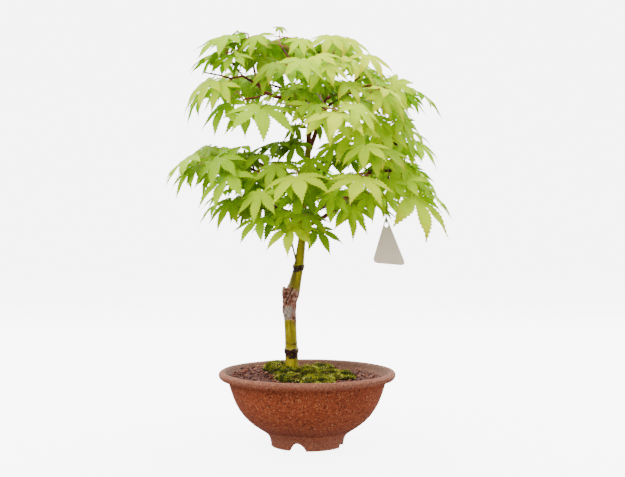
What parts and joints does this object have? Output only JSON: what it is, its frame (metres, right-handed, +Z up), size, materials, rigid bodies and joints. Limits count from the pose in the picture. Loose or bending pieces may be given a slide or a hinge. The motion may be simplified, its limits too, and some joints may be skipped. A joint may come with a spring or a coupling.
{
  "type": "potted bonsai tree",
  "caption": "Young maple bonsai with palmate leaves in tiers on a slender trunk, in a round terracotta bowl with moss, and a bare tag on a tie.",
  "frame": {"origin": "on the bowl's axis, in the plane that its foot stands on", "axes": "+Z up along the bowl's axis, -Y towards the tree's front, +X to the right as seen from the front"},
  "size_m": [0.3192, 0.2793, 0.4724],
  "materials": {
    "terracotta": "unglazed, matte, speckled",
    "soil": "matte, granular",
    "moss": "matte, fine cushions",
    "bark": "semi-matte smooth young bark",
    "leaves": "satin, thin, lit through",
    "tag_card": "satin",
    "tie_string": "matte"
  },
  "bodies": {
    "root": {"bowl": "terracotta", "moss": "moss", "soil": "soil", "spray_low_back_left": "leaves", "spray_low_back_right": "leaves", "spray_low_front": "leaves", "spray_low_left": "leaves", "spray_low_right_far": "leaves", "spray_low_right_front": "leaves", "spray_low_right_under": "leaves", "spray_mid_back": "leaves", "spray_mid_far_right": "leaves", "spray_mid_far_right_back": "leaves", "spray_mid_far_right_up": "leaves", "spray_mid_front": "leaves", "spray_mid_left": "leaves", "spray_mid_left_back": "leaves", "spray_mid_left_front": "leaves", "spray_mid_left_up": "leaves", "spray_mid_right": "leaves", "spray_mid_right_back": "leaves", "spray_mid_right_low": "leaves", "spray_top_back": "leaves", "spray_top_back_left": "leaves", "spray_top_back_right": "leaves", "spray_top_centre": "leaves", "spray_top_far_right": "leaves", "spray_top_front": "leaves", "spray_top_left_high": "leaves", "spray_top_left_inner": "leaves", "spray_top_left_low": "leaves", "spray_top_left_tip": "leaves", "spray_top_mid_front": "leaves", "spray_top_mid_right": "leaves", "spray_top_ridge": "leaves", "spray_top_right": "leaves", "spray_top_right_front": "leaves", "spray_top_right_low": "leaves", "spray_top_right_up": "leaves", "spray_top_up": "leaves", "tag": "tag_card", "tag_tie": "tie_string", "trunk": "bark"}
  },
  "joints": []
}
